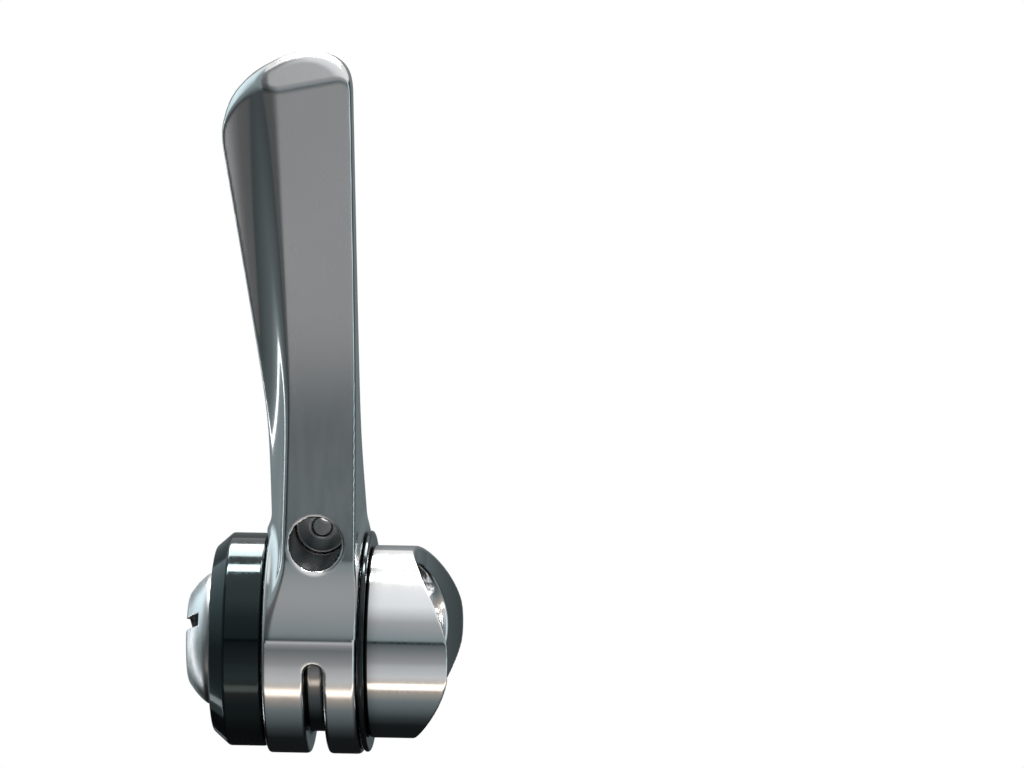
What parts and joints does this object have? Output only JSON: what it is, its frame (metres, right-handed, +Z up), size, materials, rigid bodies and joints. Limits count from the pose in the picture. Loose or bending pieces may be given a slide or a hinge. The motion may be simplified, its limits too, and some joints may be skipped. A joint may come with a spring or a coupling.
{
  "type": "down tube shifter",
  "caption": "Left-hand friction lever for a bicycle down tube: forged arm on a grooved barrel, black cap ring, slotted bolt and a chromed cup with a tube saddle.",
  "frame": {"origin": "on the pivot axis, where the saddle of the cup is deepest and meets the down tube", "axes": "+X along the pivot towards the tube, so outboard is -X; +Z up the lever at rest, along the tube; the cable hole faces -Y"},
  "size_m": [0.0298, 0.0251, 0.0799],
  "materials": {
    "polished_alloy": "polished",
    "chrome": "turned and chromed",
    "black_gloss": "gloss",
    "steel": "turned",
    "nylon": "satin",
    "bronze": "turned"
  },
  "bodies": {
    "base": {"base_cup": "chrome", "pivot_sleeve": "steel", "back_washer": "black_gloss", "stop_plate": "steel", "inner_friction_washer": "nylon", "outer_friction_washer": "nylon", "pressure_washer": "steel", "spring_washer": "steel", "cap_ring": "black_gloss"},
    "lever": {"lever": "polished_alloy", "lever_bush": "bronze"},
    "bolt": {"friction_bolt": "chrome", "bolt_retainer": "steel"}
  },
  "joints": [
    {"name": "lever_swing", "type": "hinge", "parent": "base", "child": "lever", "pos_m": [-0.0108, 0, 0], "axis": [1, 0, 0], "range_deg": [0, 110]},
    {"name": "friction_bolt_turn", "type": "hinge", "parent": "base", "child": "bolt", "pos_m": [-0.0222, 0, 0], "axis": [1, 0, 0], "range_deg": [-180, 45]}
  ]
}
